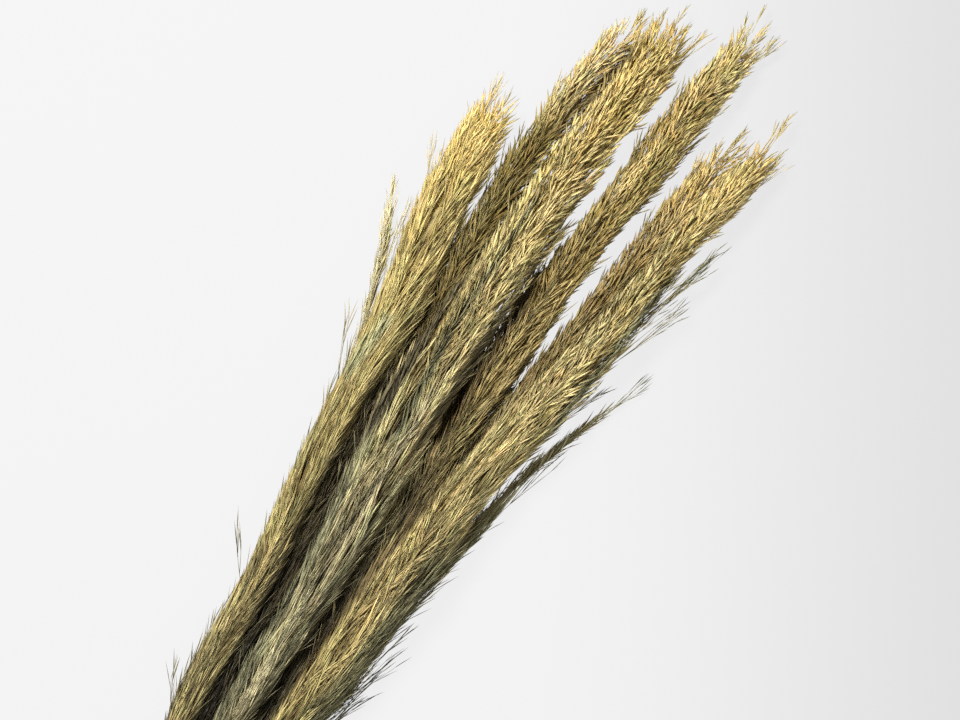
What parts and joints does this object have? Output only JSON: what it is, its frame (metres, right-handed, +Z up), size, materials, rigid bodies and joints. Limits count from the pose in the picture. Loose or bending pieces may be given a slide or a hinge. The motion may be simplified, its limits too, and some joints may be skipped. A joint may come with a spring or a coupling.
{
  "type": "bundle of giant reed plumes",
  "caption": "Tied bunch of long, dried giant reed plumes with cut hollow stems, lying down, for a vase, a wall or a floor display.",
  "frame": {"origin": "middle of the bundle's box, on the surface that it lies on", "axes": "+X along the bundle towards the plumes' tips, +Y across it towards the picture's upper left, +Z up"},
  "size_m": [1.098, 0.2642, 0.0663],
  "materials": {
    "left_gold": "dry straw-gold spikelets, matt with a faint silky shine",
    "left_under": "dry brown-gold spikelets, matt",
    "middle": "dry spikelets, grey-green low down and straw-gold at the tip, matt",
    "middle_under": "dry gold-brown spikelets, matt",
    "right_under": "dry brown spikelets, matt",
    "right_gold": "dry straw-gold spikelets, matt with a faint silky shine",
    "right_thin": "dry grey-green spikelets, matt",
    "left_thin": "dry pale gold spikelets, matt",
    "stem": "dry reed stem, pale olive to straw, smooth and half matt",
    "twine": "twisted jute twine, rough and matt"
  },
  "bodies": {
    "root": {"plume_left_gold": "left_gold", "plume_left_under": "left_under", "plume_middle": "middle", "plume_middle_under": "middle_under", "plume_right_under": "right_under", "plume_right_gold": "right_gold", "plume_right_thin": "right_thin", "plume_left_thin": "left_thin", "stem_left_gold": "stem", "stem_left_under": "stem", "stem_middle": "stem", "stem_middle_under": "stem", "stem_right_under": "stem", "stem_right_gold": "stem", "stem_right_thin": "stem", "stem_left_thin": "stem", "tie_twine": "twine"}
  },
  "joints": []
}
